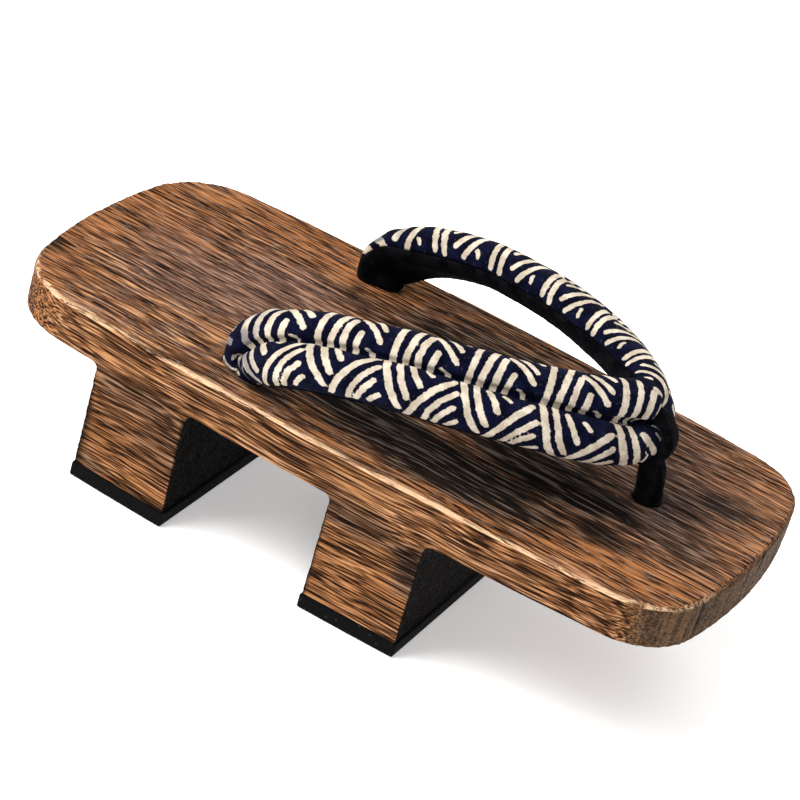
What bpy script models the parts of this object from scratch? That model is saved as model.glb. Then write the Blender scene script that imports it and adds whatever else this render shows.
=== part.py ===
# A wooden clog sandal: a board on two teeth sawn from one block, a rubber pad under each tooth, and a padded
# thong strap of two lobes that is held by a loop at the front and tied under the board.
# Metres, +Z up, +X towards the toe, +Y to the wearer's left. The origin is on the floor under the board's middle.
import math

import bmesh
import bpy
import numpy as np
from mathutils import Matrix, Vector

# The board and its outline, which is three arcs in each quarter
board_length = 0.250
board_width = 0.118
board_thickness = 0.015
side_arc_radius = 1.400
end_arc_radius = 0.198
heel_corner_radius = 0.027
toe_corner_radius = 0.0235
edge_round = 0.0016

# The teeth, which are sawn from the board's own block
tooth_height = 0.0372
rear_tooth_start = -0.0812
rear_tooth_length = 0.0353
front_tooth_start = 0.0077
front_tooth_length = 0.0338
saw_fillet = 0.0022

# The rubber pads under the teeth
pad_thickness = 0.005
pad_proud = 0.0006
pad_edge = 0.0007

# The strap's padded band
lobe_radius = 0.0072
rear_hole_ahead = 0.0079
rear_hole_inset = 0.0160
apex_from_toe = 0.0485
strap_rise = 0.0285
lining_thickness = 0.0015
lining_gap = 0.0005
seam_angle = 24.0
underside_flat = 0.93
underside_dip = 0.90
stem_radius = 0.0034
stem_reach = 0.0092

# The front loop, which goes round the outer lobe at the apex
front_hole_from_toe = 0.0400
loop_from_toe = 0.0468
loop_centre_rise = 0.0206
loop_radius = 0.0080
loop_half_width = 0.0040
loop_half_thickness = 0.0020
post_radius = 0.00445
post_top_rise = 0.0132
post_top_lean = 0.0022

# The knots under the board, as a profile in cord radii: how far its highest and lowest points lie below the
# board, and for each turn of cord its centre's depth and the directions in degrees at which its skin is cut
cord_radius = 0.0016
knot_top = 0.3
knot_bottom = 3.5
knot_turns = [
    dict(depth=1.0, directions=(70.0, 20.0, -30.0)),
    dict(depth=2.8, directions=(30.0, -20.0, -70.0)),
]

# Clearances
fit_gap = 0.0003
cut_over = 0.010

# Levels that follow from the sizes above
tooth_bottom = pad_thickness + fit_gap
board_bottom = tooth_bottom + tooth_height
board_top = board_bottom + board_thickness
half_length = board_length / 2
half_width = board_width / 2
apex_x = half_length - apex_from_toe
loop_centre_x = half_length - loop_from_toe
front_hole_x = half_length - front_hole_from_toe
rear_hole_x = rear_tooth_start + rear_tooth_length + rear_hole_ahead
rear_hole_y = half_width - rear_hole_inset
rear_hole_radius = stem_radius + fit_gap
front_hole_radius = post_radius + fit_gap

# How finely the curved shapes are cut
arc_steps = 8
band_sections = 75
lobe_steps = 7
belly_steps = 3
loop_sections = 26
loop_ring = 12
pad_steps = 6
hole_segments = 24
saw_segments = 4
board_edge_segments = 3
pad_edge_segments = 2
post_resolution = 3
knot_segments = 20

# Edges that turn further than this, in degrees, are shaded sharp or rounded
sharp_from = 35.0
padded_sharp_from = 50.0
rounded_from = 50.0

# The post from the loop down through its hole, narrower below the board for its knot. lean is its distance back
# from the hole as a share of post_top_lean, rise its height over the board's top as a share of post_top_rise,
# drop is in metres below that, and thick is the share of post_radius.
post_table = [
    dict(lean=1.00, rise=1.00, drop=0.0, thick=0.80),
    dict(lean=0.62, rise=0.80, drop=0.0, thick=0.97),
    dict(lean=0.24, rise=0.45, drop=0.0, thick=1.00),
    dict(lean=0.00, rise=0.12, drop=0.0, thick=1.00),
    dict(lean=0.00, rise=0.00, drop=board_thickness, thick=1.00),
    dict(lean=0.00, rise=0.00, drop=board_thickness + fit_gap, thick=stem_radius / post_radius),
    dict(lean=0.00, rise=0.00, drop=board_thickness + stem_reach, thick=stem_radius / post_radius),
]

# The band from its rear end to the apex, one row a section. along is the share of the way from the rear hole to
# the apex, across the share of the rear hole's distance from the middle, and rise the share of strap_rise.
# inner and outer are the lobes' shares of lobe_radius, and gape half the distance between their centres as such
# a share. turn says how far the line from the outer to the inner lobe swings from straight inwards to straight
# back, and lift how far it slopes up, both in degrees.
band_table = [
    dict(along=0.000, across=1.000, rise=0.014, inner=0.66, outer=0.70, gape=0.46, turn=75, lift=0),
    dict(along=0.000, across=1.004, rise=0.150, inner=0.74, outer=0.71, gape=0.53, turn=66, lift=2),
    dict(along=0.034, across=1.052, rise=0.355, inner=0.88, outer=0.80, gape=0.67, turn=50, lift=11),
    dict(along=0.110, across=1.090, rise=0.565, inner=0.97, outer=0.95, gape=0.81, turn=30, lift=20),
    dict(along=0.215, across=1.080, rise=0.730, inner=1.00, outer=1.00, gape=0.87, turn=16, lift=25),
    dict(along=0.335, across=1.035, rise=0.845, inner=1.00, outer=1.00, gape=0.87, turn=12, lift=27),
    dict(along=0.465, across=0.955, rise=0.915, inner=1.00, outer=1.00, gape=0.87, turn=16, lift=28),
    dict(along=0.600, across=0.840, rise=0.950, inner=1.00, outer=1.00, gape=0.87, turn=24, lift=30),
    dict(along=0.735, across=0.680, rise=0.960, inner=1.00, outer=1.00, gape=0.87, turn=28, lift=34),
    dict(along=0.850, across=0.500, rise=0.945, inner=1.00, outer=1.00, gape=0.87, turn=32, lift=42),
    dict(along=0.935, across=0.310, rise=0.920, inner=1.00, outer=0.98, gape=0.87, turn=40, lift=52),
    dict(along=0.983, across=0.140, rise=0.905, inner=0.98, outer=0.88, gape=0.87, turn=60, lift=62),
    dict(along=1.000, across=0.000, rise=0.900, inner=0.96, outer=0.76, gape=0.87, turn=90, lift=68),
]


def clear_scene():
    for thing in list(bpy.data.objects):
        bpy.data.objects.remove(thing, do_unlink=True)


def make_collection(name):
    collection = bpy.data.collections.new(name)
    bpy.context.scene.collection.children.link(collection)
    return collection


def make_material(name, colour, roughness):
    material = bpy.data.materials.new(name)
    material.use_nodes = True
    shader = material.node_tree.nodes["Principled BSDF"]
    shader.inputs["Base Color"].default_value = (*colour, 1.0)
    shader.inputs["Roughness"].default_value = roughness
    shader.inputs["Metallic"].default_value = 0.0
    return material


def object_from(name, mesh_maker, collection, material=None, smooth_degrees=sharp_from):
    # One object from a bmesh, with its faces pointing out
    mesh_maker.normal_update()
    bmesh.ops.recalc_face_normals(mesh_maker, faces=mesh_maker.faces)
    mesh = bpy.data.meshes.new(name)
    mesh_maker.to_mesh(mesh)
    mesh_maker.free()
    mesh.shade_smooth()
    mesh.set_sharp_from_angle(angle=math.radians(smooth_degrees))
    thing = bpy.data.objects.new(name, mesh)
    collection.objects.link(thing)
    if material:
        mesh.materials.append(material)
    return thing


def loft(rings, closed_path=False):
    # A solid through rings of as many points each, capped unless the path closes on itself
    maker = bmesh.new()
    rows = [[maker.verts.new(point) for point in ring] for ring in rings]
    pairs = list(zip(rows[:-1], rows[1:]))
    if closed_path:
        pairs.append((rows[-1], rows[0]))
    for low, high in pairs:
        for a in range(len(low)):
            b = (a + 1) % len(low)
            maker.faces.new((low[a], low[b], high[b], high[a]))
    if not closed_path:
        maker.faces.new(list(reversed(rows[0])))
        maker.faces.new(rows[-1])
    return maker


def as_cutter(thing):
    thing.hide_render = True
    thing.display_type = "WIRE"
    return thing


def combine(thing, other, operation, name):
    modifier = thing.modifiers.new(name, "BOOLEAN")
    modifier.object = other
    modifier.operation = operation
    modifier.solver = "EXACT"
    return modifier


def corner_circle(corner_radius):
    # The centres of the side arc, the end arc and the corner arc that touches both from inside
    side = Vector((0.0, half_width - side_arc_radius))
    end = Vector((half_length - end_arc_radius, 0.0))
    reach_side = side_arc_radius - corner_radius
    reach_end = end_arc_radius - corner_radius
    between = end - side
    span = between.length
    share = (reach_side**2 - reach_end**2 + span**2) / (2 * span)
    height = math.sqrt(max(reach_side**2 - share**2, 0.0))
    along = between.normalized()
    square = Vector((along.y, -along.x))
    return side, end, side + along * share + square * height


def arc(centre, start, stop, steps):
    # Points from start to stop round centre, the short way
    first = math.atan2(start.y - centre.y, start.x - centre.x)
    last = math.atan2(stop.y - centre.y, stop.x - centre.x)
    radius = (start - centre).length
    angles = [first + (last - first) * k / steps for k in range(steps + 1)]
    return [Vector((centre.x + radius * math.cos(a), centre.y + radius * math.sin(a))) for a in angles]


def quarter_outline(corner_radius):
    # From the side's middle to the end's middle, at the far side of the toe
    side, end, corner = corner_circle(corner_radius)
    touch_side = side + (corner - side).normalized() * side_arc_radius
    touch_end = end + (corner - end).normalized() * end_arc_radius
    points = arc(side, Vector((0.0, half_width)), touch_side, arc_steps)
    points += arc(corner, touch_side, touch_end, arc_steps)[1:]
    points += arc(end, touch_end, Vector((half_length, 0.0)), arc_steps)[1:]
    return points


def board_outline():
    # The whole outline seen from above, anticlockwise from the far side's middle to the heel and round
    toe = quarter_outline(toe_corner_radius)
    heel = [Vector((-p.x, p.y)) for p in quarter_outline(heel_corner_radius)]
    near_heel = [Vector((p.x, -p.y)) for p in reversed(heel)]
    near_toe = [Vector((p.x, -p.y)) for p in toe]
    far_toe = list(reversed(toe))
    return heel + near_heel[1:] + near_toe[1:] + far_toe[1:-1]


def prism(outline, low, high):
    # A flat outline raised from low to high, with its top rim marked for a bevel by weight
    maker = bmesh.new()
    weight = maker.edges.layers.float.new("bevel_weight_edge")
    base = maker.faces.new([maker.verts.new((p[0], p[1], low)) for p in outline])
    raised = bmesh.ops.extrude_face_region(maker, geom=[base])["geom"]
    top = [thing for thing in raised if isinstance(thing, bmesh.types.BMVert)]
    bmesh.ops.translate(maker, vec=(0.0, 0.0, high - low), verts=top)
    for edge in maker.edges:
        edge[weight] = float(all(vert in top for vert in edge.verts))
    return maker


def bevel_edges(thing, width, segments, by_weight=False):
    modifier = thing.modifiers.new("rounded edges", "BEVEL")
    modifier.width = width
    modifier.segments = segments
    modifier.limit_method = "WEIGHT" if by_weight else "ANGLE"
    modifier.angle_limit = math.radians(rounded_from)
    return modifier


def saw_cutter(name, start, stop, collection):
    # A block of waste under the board, from start to stop along X, with the saw's rounded corners on top
    maker = bmesh.new()
    bmesh.ops.create_cube(maker, size=1.0)
    size = (stop - start, board_width + 2 * cut_over, board_bottom + cut_over)
    bmesh.ops.scale(maker, vec=size, verts=maker.verts)
    bmesh.ops.translate(maker, vec=((start + stop) / 2, 0.0, board_bottom - size[2] / 2), verts=maker.verts)
    across = [edge for edge in maker.edges if all(vert.co.z > 0.0 for vert in edge.verts)]
    across = [edge for edge in across if abs(edge.verts[0].co.x - edge.verts[1].co.x) < fit_gap]
    bmesh.ops.bevel(maker, geom=across, offset=saw_fillet, segments=saw_segments, profile=0.5, affect="EDGES")
    return as_cutter(object_from(name, maker, collection))


def hole_cutter(name, x, y, radius, collection):
    maker = bmesh.new()
    depth = board_thickness + 2 * cut_over
    sizes = dict(radius1=radius, radius2=radius, depth=depth)
    bmesh.ops.create_cone(maker, cap_ends=True, segments=hole_segments, **sizes)
    bmesh.ops.translate(maker, vec=(x, y, board_top + cut_over - depth / 2), verts=maker.verts)
    return as_cutter(object_from(name, maker, collection))


def make_base(parts, cutters, material):
    # The whole block is raised from the outline, its top edge is rounded, and the waste is sawn out below
    base = object_from("wood_base", prism(board_outline(), tooth_bottom, board_top), parts, material)
    bevel_edges(base, edge_round, board_edge_segments, by_weight=True)
    rear_end = rear_tooth_start + rear_tooth_length
    front_end = front_tooth_start + front_tooth_length
    past_end = half_length + cut_over
    waste = [
        saw_cutter("heel_waste", -past_end, rear_tooth_start, cutters),
        saw_cutter("arch_waste", rear_end, front_tooth_start, cutters),
        saw_cutter("toe_waste", front_end, past_end, cutters),
        hole_cutter("front_hole", front_hole_x, 0.0, front_hole_radius, cutters),
        hole_cutter("left_hole", rear_hole_x, rear_hole_y, rear_hole_radius, cutters),
        hole_cutter("right_hole", rear_hole_x, -rear_hole_y, rear_hole_radius, cutters),
    ]
    for piece in waste:
        combine(base, piece, "DIFFERENCE", piece.name)
    return base


def width_at(x):
    # Half the block's width where a tooth stands, from the side arc
    return half_width - side_arc_radius + math.sqrt(side_arc_radius**2 - x**2)


def make_pad(name, start, length, parts, material):
    # A rubber pad as long and wide as its tooth, a little proud of it all round
    low = start - pad_proud
    high = start + length + pad_proud
    along = [low + (high - low) * k / pad_steps for k in range(pad_steps + 1)]
    far = [(x, width_at(x) + pad_proud) for x in along]
    near = [(x, -y) for x, y in reversed(far)]
    pad = object_from(name, prism(far + near, 0.0, pad_thickness), parts, material)
    bevel_edges(pad, pad_edge, pad_edge_segments)
    return pad


def band_stations():
    # The band's rows as numbers, from the right hole round the apex to the left hole
    stations = []
    for row in band_table:
        x = rear_hole_x + row["along"] * (apex_x - rear_hole_x)
        y = -row["across"] * rear_hole_y
        z = board_top + row["rise"] * strap_rise
        turn = math.radians(row["turn"])
        lift = math.radians(row["lift"])
        inner_way = [-math.sin(turn) * math.cos(lift), math.cos(turn) * math.cos(lift), math.sin(lift)]
        sizes = [row["inner"] * lobe_radius, row["outer"] * lobe_radius, row["gape"] * lobe_radius]
        stations.append([x, y, z, *sizes, *inner_way])
    stations[-1][7] = 0.0
    other_side = np.array([1, -1, 1, 1, 1, 1, 1, -1, 1])
    right = np.array(stations)
    left = right[-2::-1] * other_side
    return np.concatenate((right, left))


def smooth_rows(rows, knots, places):
    # Cubic curves through the rows, which pass each one without a kink
    slopes = np.gradient(rows, knots, axis=0)
    made = []
    for at in places:
        k = min(int(np.searchsorted(knots, at, side="right")) - 1, len(rows) - 2)
        span = knots[k + 1] - knots[k]
        t = (at - knots[k]) / span
        blend_a = 2 * t**3 - 3 * t**2 + 1
        blend_b = t**3 - 2 * t**2 + t
        blend_c = -2 * t**3 + 3 * t**2
        blend_d = t**3 - t**2
        first = blend_a * rows[k] + blend_b * span * slopes[k]
        made.append(first + blend_c * rows[k + 1] + blend_d * span * slopes[k + 1])
    return np.array(made)


def band_frames():
    # The sections of the band: centre, direction to the inner lobe, direction off the foot, and the lobes' sizes.
    # They turn evenly from one row of the table to the next, and the ends stand upright over their holes.
    stations = band_stations()
    steps = np.linalg.norm(np.diff(stations[:, :3], axis=0), axis=1)
    knots = np.concatenate(([0.0], np.cumsum(steps)))
    places = np.linspace(0.0, knots[-1], band_sections)
    rows = smooth_rows(stations, knots, places)
    runs = np.gradient(stations[:, :3], knots, axis=0)
    runs[0] = (0.0, 0.0, 1.0)
    runs[-1] = (0.0, 0.0, -1.0)
    runs = np.stack([np.interp(places, knots, runs[:, k]) for k in range(3)], axis=1)
    frames = []
    for row, run in zip(rows, runs):
        run = Vector(run).normalized()
        inner = Vector(row[6:9])
        inner = (inner - run * inner.dot(run)).normalized()
        frames.append((Vector(row[:3]), inner, run.cross(inner), row[3], row[4], row[5]))
    return frames


def round_lobe(radius, degrees):
    # A point of a lobe about its own centre, whose underside is pressed a little flat
    angle = math.radians(degrees)
    height = radius * math.sin(angle)
    return radius * math.cos(angle), height if height > 0.0 else underside_flat * height


def crown(inner_radius, outer_radius, gape):
    # The two lobes from the inner seam over the top to the outer seam, as (across, up) points
    inner_top = math.degrees(math.acos(max(-gape / inner_radius, -1.0)))
    outer_top = math.degrees(math.acos(max(-gape / outer_radius, -1.0)))
    inner_side = []
    outer_side = []
    for k in range(lobe_steps):
        across, up = round_lobe(inner_radius, -seam_angle + (inner_top + seam_angle) * k / lobe_steps)
        inner_side.append((gape + across, up))
        across, up = round_lobe(outer_radius, -seam_angle + (outer_top + seam_angle) * k / lobe_steps)
        outer_side.append((-gape - across, up))
    inner_valley = inner_radius * math.sin(math.radians(inner_top))
    outer_valley = outer_radius * math.sin(math.radians(outer_top))
    return inner_side + [(0.0, min(inner_valley, outer_valley))] + list(reversed(outer_side))


def belly(inner_radius, outer_radius, gape, inset):
    # The underside from the outer seam to the inner seam, taken in by inset
    inner = inner_radius - inset
    outer = outer_radius - inset
    inner_side = []
    outer_side = []
    for k in range(belly_steps + 1):
        degrees = -seam_angle - (90.0 - seam_angle) * k / belly_steps
        across, up = round_lobe(inner, degrees)
        inner_side.append((gape + across, up))
        across, up = round_lobe(outer, degrees)
        outer_side.append((-gape - across, up))
    middle = -underside_dip * underside_flat * min(inner, outer)
    return outer_side + [(0.0, middle)] + list(reversed(inner_side))


def place(points, centre, across, up):
    return [centre + across * u + up * v for u, v in points]


def stem_rings(frame, count):
    # The band's tail: a round stem of as many points, down through its hole
    centre, across, up = frame[0], frame[1], frame[2]
    angles = [2 * math.pi * k / count for k in range(count)]
    circle = [(stem_radius * math.cos(a), stem_radius * math.sin(a)) for a in angles]
    levels = (centre.z - fit_gap / 2, board_bottom - stem_reach)
    return [place(circle, Vector((centre.x, centre.y, z)), across, up) for z in levels]


def make_band(parts, material):
    frames = band_frames()
    inset = lining_thickness + lining_gap
    rings = []
    for centre, across, up, inner, outer, gape in frames:
        points = crown(inner, outer, gape) + belly(inner, outer, gape, inset)
        rings.append(place(points, centre, across, up))
    count = len(rings[0])
    first = list(reversed(stem_rings(frames[0], count)))
    last = stem_rings(frames[-1], count)
    return object_from("strap_band", loft(first + rings + last), parts, material, padded_sharp_from)


def make_lining(parts, material):
    rings = []
    for centre, across, up, inner, outer, gape in band_frames():
        skin = belly(inner, outer, gape, 0.0)
        inside = belly(inner, outer, gape, lining_thickness)
        rings.append(place(skin + list(reversed(inside)), centre - up * lining_gap, across, up))
    return object_from("strap_lining", loft(rings), parts, material, padded_sharp_from)


def loop_solid(name, grow, collection):
    # The loop round the band at the apex, a ring of flattened tube that stands in the middle plane
    bpy.ops.mesh.primitive_torus_add(
        major_segments=loop_sections,
        minor_segments=loop_ring,
        major_radius=loop_radius,
        minor_radius=loop_half_thickness + grow,
    )
    ring = bpy.context.active_object
    ring.name = name
    widen = (loop_half_width + grow) / (loop_half_thickness + grow)
    stand = Matrix.Rotation(math.radians(90.0), 4, "X") @ Matrix.Diagonal((1.0, 1.0, widen, 1.0))
    middle = Matrix.Translation((loop_centre_x, 0.0, board_top + loop_centre_rise))
    ring.data.transform(middle @ stand)
    for owner in list(ring.users_collection):
        owner.objects.unlink(ring)
    collection.objects.link(ring)
    return as_cutter(ring)


def tube_solid(name, rows, collection, material):
    # A round tube through rows of (x, y, z, radius), as a curve that is made a closed mesh
    curve = bpy.data.curves.new(name, "CURVE")
    curve.dimensions = "3D"
    curve.bevel_depth = 1.0
    curve.bevel_resolution = post_resolution
    curve.use_fill_caps = True
    line = curve.splines.new("POLY")
    line.points.add(len(rows) - 1)
    for point, (x, y, z, radius) in zip(line.points, rows):
        point.co = (x, y, z, 1.0)
        point.radius = radius
    guide = bpy.data.objects.new(name + "_line", curve)
    collection.objects.link(guide)
    depsgraph = bpy.context.evaluated_depsgraph_get()
    mesh = bpy.data.meshes.new_from_object(guide.evaluated_get(depsgraph))
    mesh.transform(guide.matrix_world)
    bpy.data.objects.remove(guide, do_unlink=True)
    maker = bmesh.new()
    maker.from_mesh(mesh)
    bpy.data.meshes.remove(mesh)
    bmesh.ops.remove_doubles(maker, verts=maker.verts, dist=0.00001)
    return object_from(name, maker, collection, material)


def post_solid(name, collection, material):
    line = []
    for row in post_table:
        x = front_hole_x - row["lean"] * post_top_lean
        z = board_top + row["rise"] * post_top_rise - row["drop"]
        line.append((x, 0.0, z, row["thick"] * post_radius))
    return tube_solid(name, line, collection, material)


def make_thong(parts, cutters, material):
    thong = post_solid("front_thong", parts, material)
    loop = loop_solid("loop_ring", 0.0, cutters)
    combine(thong, loop, "UNION", "loop")
    return thong


def make_knot(name, x, y, parts, material):
    # Two turns of cord wound round the stem under the board: a turned profile, from its outer side down
    inner = stem_radius + fit_gap
    middle = inner + cord_radius
    top = -fit_gap
    profile = [(inner, top - knot_top * cord_radius)]
    for turn in knot_turns:
        for degrees in turn["directions"]:
            angle = math.radians(degrees)
            across = middle + cord_radius * math.cos(angle)
            profile.append((across, top - turn["depth"] * cord_radius + cord_radius * math.sin(angle)))
    profile.append((inner, top - knot_bottom * cord_radius))
    maker = bmesh.new()
    row = [maker.verts.new((r, 0.0, z)) for r, z in profile]
    for k, vert in enumerate(row):
        maker.edges.new((vert, row[(k + 1) % len(row)]))
    mesh = bpy.data.meshes.new(name)
    maker.to_mesh(mesh)
    maker.free()
    mesh.materials.append(material)
    knot = bpy.data.objects.new(name, mesh)
    parts.objects.link(knot)
    knot.location = (x, y, board_bottom)
    turned = knot.modifiers.new("turned", "SCREW")
    turned.steps = knot_segments
    turned.render_steps = knot_segments
    turned.use_merge_vertices = True
    turned.merge_threshold = 0.00005
    turned.use_normal_calculate = True
    return knot


def build():
    clear_scene()
    parts = make_collection("clog_sandal")
    cutters = make_collection("cutters")
    wood = make_material("burnt_wood", (0.27, 0.14, 0.065), 0.55)
    rubber = make_material("black_rubber", (0.02, 0.02, 0.02), 0.75)
    cloth = make_material("navy_cloth", (0.03, 0.04, 0.13), 0.9)
    velvet = make_material("black_velvet", (0.008, 0.008, 0.01), 0.95)
    cord = make_material("black_cord", (0.02, 0.02, 0.025), 0.9)
    make_base(parts, cutters, wood)
    make_pad("rear_tooth_pad", rear_tooth_start, rear_tooth_length, parts, rubber)
    make_pad("front_tooth_pad", front_tooth_start, front_tooth_length, parts, rubber)
    band = make_band(parts, cloth)
    lining = make_lining(parts, velvet)
    make_thong(parts, cutters, velvet)
    clearance = loop_solid("loop_clearance", fit_gap, cutters)
    combine(band, clearance, "DIFFERENCE", "loop clearance")
    combine(lining, clearance, "DIFFERENCE", "loop clearance")
    make_knot("knot_left", rear_hole_x, rear_hole_y, parts, cord)
    make_knot("knot_right", rear_hole_x, -rear_hole_y, parts, cord)
    make_knot("knot_front", front_hole_x, 0.0, parts, cord)


build()
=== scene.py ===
# Block sandal of burnt, brushed wood with a padded patterned thong: the looks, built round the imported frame.
# All sizes are in metres in the row frame, with the toe towards +X and up +Z.
import math
import random

import bmesh
import bpy
import numpy as np
from mathutils import Matrix, Vector


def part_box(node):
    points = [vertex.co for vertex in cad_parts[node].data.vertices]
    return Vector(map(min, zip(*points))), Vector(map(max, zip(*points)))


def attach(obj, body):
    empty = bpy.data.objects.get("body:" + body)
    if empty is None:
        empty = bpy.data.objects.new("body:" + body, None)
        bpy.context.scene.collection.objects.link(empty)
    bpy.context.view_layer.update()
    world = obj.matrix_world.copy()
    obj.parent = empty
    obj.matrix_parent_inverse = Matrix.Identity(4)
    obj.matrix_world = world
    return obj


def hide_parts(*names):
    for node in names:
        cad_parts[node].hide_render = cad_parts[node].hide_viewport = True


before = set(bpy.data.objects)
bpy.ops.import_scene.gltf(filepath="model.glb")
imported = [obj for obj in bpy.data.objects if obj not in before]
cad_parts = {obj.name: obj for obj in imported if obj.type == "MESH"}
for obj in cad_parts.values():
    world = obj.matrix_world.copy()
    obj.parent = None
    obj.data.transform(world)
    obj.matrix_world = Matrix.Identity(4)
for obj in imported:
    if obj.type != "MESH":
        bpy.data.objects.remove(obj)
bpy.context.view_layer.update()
scene = bpy.context.scene
boardLow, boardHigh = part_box("wood_base")
boardTop = boardHigh.z
boardThickness = 0.015
boardBottom = boardTop - boardThickness
halfWidth = boardHigh.y
print("frame loaded")


# small helpers
def smoothStep(low, high, value):
    share = np.clip((value - low) / (high - low), 0.0, 1.0)
    return share * share * (3.0 - 2.0 * share)


def latticeValue(ix, iy, iz, seed):
    # a repeatable number from 0 to 1 for each lattice point
    mix = np.sin(ix * 127.1 + iy * 311.7 + iz * 74.7 + seed * 53.3) * 43758.5453
    return mix - np.floor(mix)


def softNoise(points, size, seed=0.0):
    # smooth noise from 0 to 1; size gives the length of one cell along each axis
    cell = points / np.array(size)
    base = np.floor(cell)
    part = cell - base
    part = part * part * (3.0 - 2.0 * part)
    total = np.zeros(len(points))
    for dx in (0, 1):
        for dy in (0, 1):
            for dz in (0, 1):
                weight = (part[:, 0] if dx else 1 - part[:, 0])
                weight = weight * (part[:, 1] if dy else 1 - part[:, 1])
                weight = weight * (part[:, 2] if dz else 1 - part[:, 2])
                total += weight * latticeValue(base[:, 0] + dx, base[:, 1] + dy, base[:, 2] + dz, seed)
    return total


def readMesh(mesh):
    # the places and the normals of the mesh's points
    found = []
    for label in ("co", "normal"):
        values = np.zeros(len(mesh.vertices) * 3)
        mesh.vertices.foreach_get(label, values)
        found.append(values.reshape(-1, 3))
    return found


def pushPoints(mesh, points, normals, push):
    moved = points + normals * push[:, None]
    mesh.vertices.foreach_set("co", np.ascontiguousarray(moved, dtype=np.float32).ravel())
    mesh.update()


def keepMask(mesh, name, values):
    mask = mesh.attributes.new(name, "FLOAT", "POINT")
    mask.data.foreach_set("value", np.asarray(values, dtype=np.float32))


def addObject(name, data):
    made = bpy.data.objects.new(name, data)
    scene.collection.objects.link(made)
    return made


def finishPiece(name, mesh, material, nodes):
    piece = addObject(name, mesh)
    mesh.materials.append(material)
    mesh.polygons.foreach_set("use_smooth", [True] * len(mesh.polygons))
    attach(piece, "root")
    if nodes:
        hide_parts(*nodes)
    return piece


def loftMesh(name, rings, capEnds=True):
    # a skin over rings of as many points each, with fans over both ends
    count = len(rings[0])
    points = [tuple(p) for ring in rings for p in ring]
    faces = []
    for r in range(len(rings) - 1):
        for k in range(count):
            nextK = (k + 1) % count
            faces.append((r * count + k, r * count + nextK, (r + 1) * count + nextK, (r + 1) * count + k))
    if capEnds:
        for r, flip in ((0, True), (len(rings) - 1, False)):
            middle = len(points)
            points.append(tuple(np.mean(np.array(rings[r]), axis=0)))
            for k in range(count):
                nextK = (k + 1) % count
                a, b = r * count + k, r * count + nextK
                faces.append((b, a, middle) if flip else (a, b, middle))
    mesh = bpy.data.meshes.new(name)
    mesh.from_pydata(points, [], faces)
    mesh.validate()
    fixer = bmesh.new()
    fixer.from_mesh(mesh)
    bmesh.ops.recalc_face_normals(fixer, faces=fixer.faces)
    fixer.to_mesh(mesh)
    fixer.free()
    return mesh


def ringPoints(centre, across, up, count):
    turns = [2 * math.pi * k / count for k in range(count)]
    return [centre + across * math.cos(turn) + up * math.sin(turn) for turn in turns]


def tubeRings(line, radii, sides):
    # rings round a line of points, turned as little as possible from one to the next
    line = [Vector(p) for p in line]
    rings = []
    side = None
    for k, point in enumerate(line):
        ahead = line[min(k + 1, len(line) - 1)] - line[max(k - 1, 0)]
        ahead.normalize()
        if side is None:
            side = ahead.orthogonal().normalized()
        side = (side - ahead * side.dot(ahead)).normalized()
        rings.append(ringPoints(point, side * radii[k], ahead.cross(side) * radii[k], sides))
    return rings


# node helpers
def newMaterial(name, roughness, specular=0.5):
    material = bpy.data.materials.new(name)
    material.use_nodes = True
    shader = material.node_tree.nodes["Principled BSDF"]
    shader.inputs["Roughness"].default_value = roughness
    shader.inputs["Specular IOR Level"].default_value = specular
    return material, material.node_tree, shader


def setSheen(shader, weight, roughness):
    shader.inputs["Sheen Weight"].default_value = weight
    shader.inputs["Sheen Roughness"].default_value = roughness


def feed(tree, socket, value):
    # a number or a colour is set on the socket, and an output is linked to it
    if isinstance(value, (int, float)):
        socket.default_value = value
    elif isinstance(value, tuple):
        socket.default_value = (*value, 1.0)
    else:
        tree.links.new(value, socket)


def addNode(tree, kind, **values):
    node = tree.nodes.new("ShaderNode" + kind)
    for label, value in values.items():
        feed(tree, node.inputs[label], value)
    return node


def mathNode(tree, operation, *values):
    node = addNode(tree, "Math")
    node.operation = operation
    for socket, value in zip(node.inputs, values):
        feed(tree, socket, value)
    return node.outputs[0]


def timesNode(tree, first, second):
    return mathNode(tree, "MULTIPLY", first, second)


def weighedSum(tree, *terms):
    # the sum of value times share over the terms
    total = timesNode(tree, *terms[0])
    for value, share in terms[1:]:
        total = mathNode(tree, "MULTIPLY_ADD", value, share, total)
    return total


def mixColour(tree, mask, under, over):
    node = addNode(tree, "Mix")
    node.data_type = "RGBA"
    for index, value in ((0, mask), (6, under), (7, over)):
        feed(tree, node.inputs[index], value)
    return node.outputs[2]


def rangeNode(tree, value, low, high, outLow=0.0, outHigh=1.0):
    ends = {"From Min": low, "From Max": high, "To Min": outLow, "To Max": outHigh}
    node = addNode(tree, "MapRange", Value=value, **ends)
    node.interpolation_type = "SMOOTHSTEP"
    return node.outputs["Result"]


def attributeNode(tree, name, output="Fac"):
    node = addNode(tree, "Attribute")
    node.attribute_name = name
    return node.outputs[output]


def placeNode(tree):
    return addNode(tree, "TexCoord").outputs["Object"]


def splitPlace(tree, place):
    return addNode(tree, "SeparateXYZ", Vector=place).outputs


def scaledPlace(tree, place, size):
    node = addNode(tree, "VectorMath")
    node.operation = "SCALE"
    feed(tree, node.inputs[0], place)
    feed(tree, node.inputs["Scale"], mathNode(tree, "DIVIDE", 1.0, size))
    return node.outputs[0]


def noiseNode(tree, place, scale, detail=2.0, roughness=0.5):
    return addNode(tree, "TexNoise", Vector=place, Scale=scale, Detail=detail, Roughness=roughness).outputs


def bumpInto(tree, shader, height, strength, distance):
    bump = addNode(tree, "Bump", Height=height, Strength=strength, Distance=distance)
    tree.links.new(bump.outputs["Normal"], shader.inputs["Normal"])


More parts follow.
